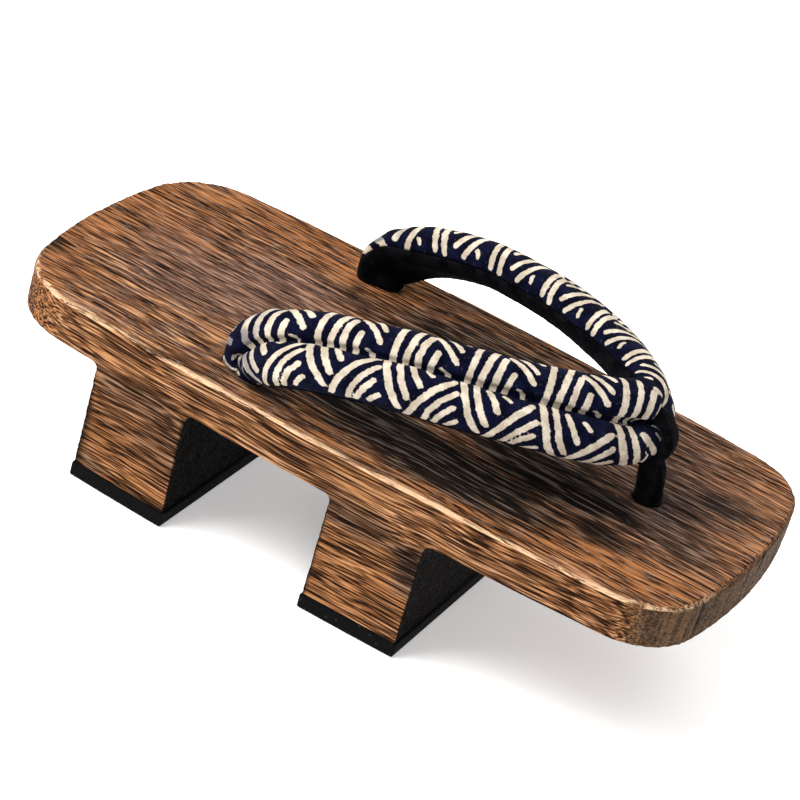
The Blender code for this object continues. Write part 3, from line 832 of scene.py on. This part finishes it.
def buildStrap(material):
    frames, length = bandFrames(strap["sections"])
    rings, along, around = [], [], []
    inset = strap["liningThickness"] + strap["liningGap"]
    for centre, across, up, inner, outer, gape, place in frames:
        crown = crownPoints(inner, outer, gape, strap["lobeSteps"])
        belly = bellyPoints(inner, outer, gape, inset, strap["bellySteps"])
        flatRing = [(u, v) for u, v, _ in crown] + belly
        rings.append([centre + across * u + up * v for u, v in flatRing])
        along += [place] * len(flatRing)
        around += [way for _, _, way in crown]
        # the belly's points count on from the two seams
        half = len(belly) // 2
        around += [crown[-1][2] - 0.001 * (k + 1) for k in range(half)] + [0.0]
        around += [crown[0][2] + 0.001 * (half - k) for k in range(half)]
    count = len(rings[0])
    tails = []
    radius = strap["stemRadius"]
    for centre, across, up, *_ in (frames[0], frames[-1]):
        levels = np.linspace(centre.z - 0.0002, boardBottom - strap["stemReach"], 12)
        spots = [Vector((centre.x, centre.y, z)) for z in levels]
        tails.append([ringPoints(spot, across * radius, up * radius, count) for spot in spots])
    allRings = list(reversed(tails[0])) + rings + tails[1]
    mesh = loftMesh("strap_cloth", allRings)
    tailPoints = len(tails[0]) * count
    endPoints = len(mesh.vertices) - len(allRings) * count
    along = np.array([0.0] * tailPoints + along + [length] * (tailPoints + endPoints))
    around = np.array([0.02] * tailPoints + around + [0.02] * (tailPoints + endPoints))
    points, normals = readMesh(mesh)
    mirrored = np.minimum(along, length - along)
    shown = smoothStep(0.0, 0.004, mirrored)
    # gathers where the band turns down, lumps of the filling, and the crease between the two halves
    flat = np.stack((along, around, np.zeros(len(along))), axis=1)
    lumps = softNoise(flat, (0.016, 0.009, 1.0), 8.0) - 0.5
    wrinkles = softNoise(flat, (0.0034, 0.014, 1.0), 9.0) - 0.5
    gathers = smoothStep(0.034, 0.004, mirrored) + 0.7 * smoothStep(0.020, 0.004, length / 2 - mirrored)
    inGroove = smoothStep(0.006, 0.001, np.abs(around))
    puckers = wrinkles * (0.25 + gathers + 0.5 * inGroove)
    push = shown * (strap["lumpDepth"] * lumps * 2 + strap["puckerDepth"] * 2 * puckers)
    crease = smoothStep(strap["creaseWidth"], 0.0, np.abs(along - length / 2))
    push = push - strap["creaseDepth"] * crease * smoothStep(0.024, 0.0, np.abs(around))
    push = push - shown * strap["grooveDepth"] * smoothStep(0.0022, 0.0, np.abs(around))
    onBelly = np.abs(around) > np.abs(around).max() - 0.0062
    push = np.where(onBelly | (mirrored <= 0.0), 0.0, push)
    pushPoints(mesh, points, normals, push)
    keepMask(mesh, "stroke", clothDistance(along * 1000.0, around * 1000.0, length * 500.0))
    keepMask(mesh, "faded", smoothStep(0.026, 0.008, mirrored))
    clothPlace = mesh.attributes.new("clothPlace", "FLOAT_VECTOR", "POINT")
    clothPlace.data.foreach_set("vector", np.ascontiguousarray(flat, dtype=np.float32).ravel())
    return finishPiece("strap_cloth", mesh, material, ["strap_band"])


cloth = {
    "roughness": 0.88,
    "specular": 0.03,
    "sheen": (0.012, 0.5),
    "thread": 0.00050,
    "bump": (0.55, 0.00016),
    "printStep": 0.3,  # height of the printed paste as a share of the weave's
    "ragged": 1.1,  # millimetres by which a stroke's edge wanders
    "navyColours": ((0.0010, 0.0013, 0.0068), (0.0034, 0.0046, 0.0190)),
    "creamColours": ((0.42, 0.355, 0.275), (0.61, 0.535, 0.435)),
    "fadedColour": (0.115, 0.105, 0.130),
    "speckColour": (0.40, 0.38, 0.36),
    "specks": {"Size": 0.0007, "Amount": 0.05},
}


def buildClothMaterial():
    material, tree, shader = newMaterial("printedCotton", cloth["roughness"], cloth["specular"])
    setSheen(shader, *cloth["sheen"])
    place = placeNode(tree)
    laid = attributeNode(tree, "clothPlace", "Vector")
    weave = groupNode(tree, threadWeave, laid, Thread=cloth["thread"])
    ragged = noiseNode(tree, laid, 620.0, 3.0, 0.6)["Fac"]
    wander = timesNode(tree, mathNode(tree, "SUBTRACT", ragged, 0.5), cloth["ragged"])
    ink = rangeNode(tree, mathNode(tree, "ADD", attributeNode(tree, "stroke"), wander), 0.14, -0.10)
    mottled = rangeNode(tree, noiseNode(tree, place, 260.0, 4.0)["Fac"], 0.35, 0.68)
    navy = mixColour(tree, mottled, *cloth["navyColours"])
    cream = mixColour(tree, mottled, *cloth["creamColours"])
    patchy = rangeNode(tree, noiseNode(tree, place, 130.0)["Fac"], 0.46, 0.56)
    worn = timesNode(tree, timesNode(tree, attributeNode(tree, "faded"), patchy), 0.85)
    printed = mixColour(tree, ink, navy, mixColour(tree, worn, cream, cloth["fadedColour"]))
    specks = groupNode(tree, dustSpecks, place, **cloth["specks"])["Mask"]
    colour = mixColour(tree, specks, printed, cloth["speckColour"])
    colourAndRoughness(tree, shader, colour, rangeNode(tree, weave["Slub"], 0.3, 0.7, 0.80, 0.96))
    height = mathNode(tree, "MULTIPLY_ADD", ink, cloth["printStep"], weave["Height"])
    bumpInto(tree, shader, height, *cloth["bump"])
    return material


velvet = {
    "roughness": 0.95,
    "specular": 0.02,
    "sheen": (0.08, 0.30),
    "sheenTint": (0.30, 0.30, 0.36, 1.0),
    "tuft": 0.00045,
    "bump": (0.9, 0.00045),
    "pileDepth": 0.00022,
    "slackDepth": 0.0003,
    "pileColours": ((0.0012, 0.0012, 0.0016), (0.0050, 0.0050, 0.0062)),
    "speckColour": (0.12, 0.12, 0.13),
    "specks": {"Size": 0.0006, "Amount": 0.06},
}


def buildLining(material):
    frames, _ = bandFrames(strap["sections"])
    rings = []
    for centre, across, up, inner, outer, gape, _ in frames:
        skin = bellyPoints(inner, outer, gape, 0.0, 9)
        inside = bellyPoints(inner, outer, gape, strap["liningThickness"], 9)
        base = centre - up * strap["liningGap"]
        rings.append([base + across * u + up * v for u, v in skin + list(reversed(inside))])
    mesh = loftMesh("strap_lining_pile", rings)
    points, normals = readMesh(mesh)
    pile = softNoise(points, (0.0011, 0.0011, 0.0011), 12.0) - 0.5
    slack = softNoise(points, (0.012, 0.012, 0.010), 13.0) - 0.5
    push = velvet["pileDepth"] * pile + velvet["slackDepth"] * slack
    pushPoints(mesh, points, normals, push)
    return finishPiece("strap_lining_pile", mesh, material, ["strap_lining"])


def buildVelvetMaterial():
    material, tree, shader = newMaterial("blackVelvet", velvet["roughness"], velvet["specular"])
    setSheen(shader, *velvet["sheen"])
    shader.inputs["Sheen Tint"].default_value = velvet["sheenTint"]
    place = placeNode(tree)
    nap = groupNode(tree, softNap, place, Tuft=velvet["tuft"])
    pile = mixColour(tree, nap["Brushed"], *velvet["pileColours"])
    specks = groupNode(tree, dustSpecks, place, **velvet["specks"])["Mask"]
    colour = mixColour(tree, specks, pile, velvet["speckColour"])
    colourAndRoughness(tree, shader, colour, rangeNode(tree, nap["Height"], 0.3, 0.7, 0.99, 0.86))
    bumpInto(tree, shader, nap["Height"], *velvet["bump"])
    return material


clothMaterial = buildClothMaterial()
velvetMaterial = buildVelvetMaterial()
strapCloth = buildStrap(clothMaterial)
buildLining(velvetMaterial)
print("padded strap laid:", len(strapCloth.data.polygons), "faces")


# the toe thong
thong = {
    "loopX": 0.0782,
    "loopRise": 0.0206,
    "loopRadius": 0.0080,
    "loopHalfWidth": 0.0040,
    "loopHalfThickness": 0.0020,
    "postX": 0.0850,
    "postRadius": 0.00445,
    "postTop": 0.0132,
    "postLean": 0.0022,
    "postNeck": 0.76,  # share of the post's radius below the board
    "voxel": 0.00045,
    "easing": 4,
    "foldDepth": 0.0007,
}


def joinMeshes(meshes, name):
    maker = bmesh.new()
    for mesh in meshes:
        maker.from_mesh(mesh)
        bpy.data.meshes.remove(mesh)
    joined = bpy.data.meshes.new(name)
    maker.to_mesh(joined)
    maker.free()
    return joined


def applyModifiers(piece):
    depsgraph = bpy.context.evaluated_depsgraph_get()
    made = bpy.data.meshes.new_from_object(piece.evaluated_get(depsgraph))
    old = piece.data
    piece.modifiers.clear()
    piece.data = made
    bpy.data.meshes.remove(old)
    return made


def buildThong(material):
    # the loop: a flattened ring round the band in the middle plane
    middle = Vector((thong["loopX"], 0.0, boardTop + thong["loopRise"]))
    wide = Vector((0.0, thong["loopHalfWidth"], 0.0))
    rings = []
    for out in ringPoints(Vector(), Vector((1.0, 0.0, 0.0)), Vector((0.0, 0.0, 1.0)), 72):
        thick = out * thong["loopHalfThickness"]
        rings.append(ringPoints(middle + out * thong["loopRadius"], thick, wide, 28))
    loop = loftMesh("loop", rings + [rings[0]], capEnds=False)
    # the post, gathered at its top and narrow below the board: lean, height over the board, share of radius
    lean, top, neck = thong["postLean"], thong["postTop"], thong["postNeck"]
    rows = [
        (-lean, top, 0.80),
        (-0.62 * lean, 0.80 * top, 0.97),
        (-0.24 * lean, 0.45 * top, 1.0),
        (0.0, 0.12 * top, 1.0),
        (0.0, -boardThickness, 1.0),
        (0.0, -0.0153, neck),
        (0.0, -0.0242, neck),
    ]
    line, radii = [], []
    for (xa, za, ra), (xb, zb, rb) in zip(rows, rows[1:]):
        steps = max(int(abs(zb - za) / 0.0006), 1)
        for k in range(steps):
            share = k / steps
            line.append((thong["postX"] + xa + (xb - xa) * share, 0.0, boardTop + za + (zb - za) * share))
            radii.append((ra + (rb - ra) * share) * thong["postRadius"])
    line.append((thong["postX"] + rows[-1][0], 0.0, boardTop + rows[-1][1]))
    radii.append(rows[-1][2] * thong["postRadius"])
    post = loftMesh("post", tubeRings(line, radii, 40))
    mesh = joinMeshes([loop, post], "toe_thong")
    piece = addObject("toe_thong", mesh)
    welded = piece.modifiers.new("welded", "REMESH")
    welded.mode = "VOXEL"
    welded.voxel_size = thong["voxel"]
    eased = piece.modifiers.new("eased", "SMOOTH")
    eased.iterations = thong["easing"]
    mesh = applyModifiers(piece)
    bpy.data.objects.remove(piece)
    points, normals = readMesh(mesh)
    folds = softNoise(points, (0.0032, 0.0032, 0.014), 15.0) - 0.5
    pile = softNoise(points, (0.0009, 0.0009, 0.0009), 16.0) - 0.5
    free = smoothStep(boardTop - 0.0005, boardTop + 0.002, points[:, 2])
    push = free * (thong["foldDepth"] * folds + velvet["pileDepth"] * pile)
    pushPoints(mesh, points, normals, push)
    return finishPiece("toe_thong", mesh, material, ["front_thong"])


hem = {
    "sections": (0.4835, 0.4790),  # shares of the band's length at its two ends
    "degrees": (172.0, 110.0),  # way round the outer lobe
    "stand": 0.0002,
    "radius": 0.00032,
    "points": 26,
    "thread": 0.0005,
    "bump": (0.4, 0.0001),
    "colours": ((0.48, 0.44, 0.40), (0.74, 0.70, 0.65)),
}


def buildHem(material):
    # the cloth's turned edge, which shows as a pale line on the outer lobe beside the loop
    frames, _ = bandFrames(strap["sections"])
    line = []
    for share in np.linspace(0.0, 1.0, hem["points"]):
        at = np.interp(share, (0.0, 1.0), hem["sections"]) * (strap["sections"] - 1)
        centre, across, up, _, outer, gape, _ = frames[int(at)]
        degrees = np.interp(share, (0.0, 1.0), hem["degrees"])
        sideways, lifted = lobePoint(outer + hem["stand"], degrees)
        line.append(centre + across * (sideways - gape) + up * lifted)
    eased = [(before + point * 2 + after) / 4 for before, point, after in zip(line, line[1:], line[2:])]
    line = [line[0], *eased, line[-1]]
    shares = np.linspace(0.08, 0.92, len(line))
    radii = [hem["radius"] * math.sin(math.pi * share) for share in shares]
    mesh = loftMesh("strap_hem", tubeRings(line, radii, 10))
    return finishPiece("strap_hem", mesh, material, [])


def buildHemMaterial():
    material, tree, shader = newMaterial("turnedHem", 0.9, 0.05)
    weave = groupNode(tree, threadWeave, placeNode(tree), Thread=hem["thread"])
    tone = rangeNode(tree, weave["Slub"], 0.3, 0.7)
    tree.links.new(mixColour(tree, tone, *hem["colours"]), shader.inputs["Base Color"])
    bumpInto(tree, shader, weave["Height"], *hem["bump"])
    return material


buildThong(velvetMaterial)
buildHem(buildHemMaterial())
print("toe thong wrapped")


# knots under the board
knots = {
    "cordRadius": 0.0016,
    "gap": 0.0003,
    "turns": 2.0,
    "pitch": 1.0045,  # cord radii by which one turn lies under the last
    "stepsPerTurn": 30,
    "sides": 12,
    "thread": 0.0006,
    "bump": (0.6, 0.0003),
    "colours": ((0.010, 0.010, 0.012), (0.035, 0.035, 0.040)),
}


def buildKnot(name, node, x, y, material):
    # two turns of cord round the stem, its ends tucked against the turns
    radius = strap["stemRadius"] + knots["gap"] + knots["cordRadius"]
    steps = int(knots["turns"] * knots["stepsPerTurn"])
    line = []
    for k in range(steps + 1):
        share = k / steps
        angle = 2 * math.pi * knots["turns"] * share
        drop = knots["gap"] + knots["cordRadius"] * (1.0 + knots["pitch"] * knots["turns"] * share)
        line.append((x + radius * math.cos(angle), y + radius * math.sin(angle), boardBottom - drop))
    radii = [knots["cordRadius"] * (0.96 if 2 < k < len(line) - 3 else 0.80) for k in range(len(line))]
    mesh = loftMesh(name, tubeRings(line, radii, knots["sides"]))
    return finishPiece(name, mesh, material, [node])


def buildCordMaterial():
    material, tree, shader = newMaterial("blackCord", 0.85)
    weave = groupNode(tree, threadWeave, placeNode(tree), Thread=knots["thread"])
    slub = weave["Slub"]
    colour = mixColour(tree, rangeNode(tree, slub, 0.3, 0.7), *knots["colours"])
    colourAndRoughness(tree, shader, colour, rangeNode(tree, slub, 0.3, 0.7, 0.75, 0.95))
    bumpInto(tree, shader, weave["Height"], *knots["bump"])
    return material


cordMaterial = buildCordMaterial()
buildKnot("cord_knot_left", "knot_left", strap["holeX"], strap["holeY"], cordMaterial)
buildKnot("cord_knot_right", "knot_right", strap["holeX"], -strap["holeY"], cordMaterial)
buildKnot("cord_knot_front", "knot_front", thong["postX"], 0.0, cordMaterial)
print("knots wound")


# rubber treads
rubber = {
    "roughness": 0.6,
    "specular": 0.03,
    "bump": (0.35, 0.0002),
    "colours": ((0.0022, 0.0024, 0.0027), (0.0048, 0.0050, 0.0056)),
    "speckColour": (0.10, 0.10, 0.10),
    "specks": {"Size": 0.0010, "Amount": 0.16},
}


def buildRubberMaterial():
    material, tree, shader = newMaterial("blackRubber", rubber["roughness"], rubber["specular"])
    place = placeNode(tree)
    fine = noiseNode(tree, place, 1500.0, 3.0)["Fac"]
    dark = mixColour(tree, rangeNode(tree, fine, 0.35, 0.7), *rubber["colours"])
    specks = groupNode(tree, dustSpecks, place, **rubber["specks"])["Mask"]
    colour = mixColour(tree, specks, dark, rubber["speckColour"])
    colourAndRoughness(tree, shader, colour, rangeNode(tree, fine, 0.3, 0.7, 0.52, 0.72))
    bumpInto(tree, shader, fine, *rubber["bump"])
    return material


rubberMaterial = buildRubberMaterial()
for name in ("rear_tooth_pad", "front_tooth_pad"):
    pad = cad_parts[name]
    pad.data.materials.clear()
    pad.data.materials.append(rubberMaterial)
print("treads finished")


# floor, light and camera
studio = {
    "floorSize": 6.0,
    "floorColour": (0.93, 0.93, 0.93),
    "skyColour": (1.0, 1.0, 1.0),
    "skyStrength": 0.50,
    "floorGlow": 0.26,
    "cameraPlace": (0.2943, -0.7688, 0.5337),
    "cameraRight": (0.84047, 0.48156, 0.24842),
    "cameraUp": (-0.44442, 0.35034, 0.82447),
    "cameraAhead": (-0.31000, 0.80334, -0.50847),
    "lens": 135.0,
    "sensor": 36.0,
}
# area lights: place, aim, width, watts, colour
softboxes = {
    "keyBox": ((-0.55, -0.45, 0.95), (0.0, 0.0, 0.05), 0.70, 17.0, (1.0, 0.985, 0.96)),
    "fillBox": ((0.30, -1.00, 0.55), (0.0, 0.0, 0.04), 0.70, 4.0, (0.97, 0.985, 1.0)),
    "rimBox": ((0.20, 0.95, 0.75), (0.0, 0.0, 0.05), 0.70, 9.0, (1.0, 1.0, 1.0)),
}


def buildStudio():
    bpy.ops.mesh.primitive_plane_add(size=studio["floorSize"], location=(0.0, 0.0, 0.0))
    floor = bpy.context.active_object
    floor.name = "floor"
    material, _, shader = newMaterial("paleFloor", 0.95, 0.0)
    shader.inputs["Base Color"].default_value = (*studio["floorColour"], 1.0)
    shader.inputs["Emission Color"].default_value = (1.0, 1.0, 1.0, 1.0)
    shader.inputs["Emission Strength"].default_value = studio["floorGlow"]
    floor.data.materials.append(material)
    world = bpy.data.worlds.new("studioSky")
    world.use_nodes = True
    sky = world.node_tree.nodes["Background"]
    sky.inputs["Color"].default_value = (*studio["skyColour"], 1.0)
    sky.inputs["Strength"].default_value = studio["skyStrength"]
    scene.world = world
    for name, (place, aim, width, watts, colour) in softboxes.items():
        light = bpy.data.lights.new(name, "AREA")
        light.shape = "SQUARE"
        light.size = width
        light.energy = watts
        light.color = colour
        box = addObject(name, light)
        box.location = place
        box.rotation_euler = (Vector(aim) - Vector(place)).to_track_quat("-Z", "Y").to_euler()


def buildCamera():
    data = bpy.data.cameras.new("camera")
    data.lens = studio["lens"]
    data.sensor_width = studio["sensor"]
    data.sensor_fit = "HORIZONTAL"
    data.clip_start = 0.01
    camera = addObject("camera", data)
    right, up, ahead = (Vector(studio[key]) for key in ("cameraRight", "cameraUp", "cameraAhead"))
    turned = Matrix((right, up, -ahead)).transposed().to_4x4()
    camera.matrix_world = Matrix.Translation(studio["cameraPlace"]) @ turned
    scene.camera = camera


buildStudio()
buildCamera()
scene.view_settings.view_transform = "Standard"
print("studio lit")
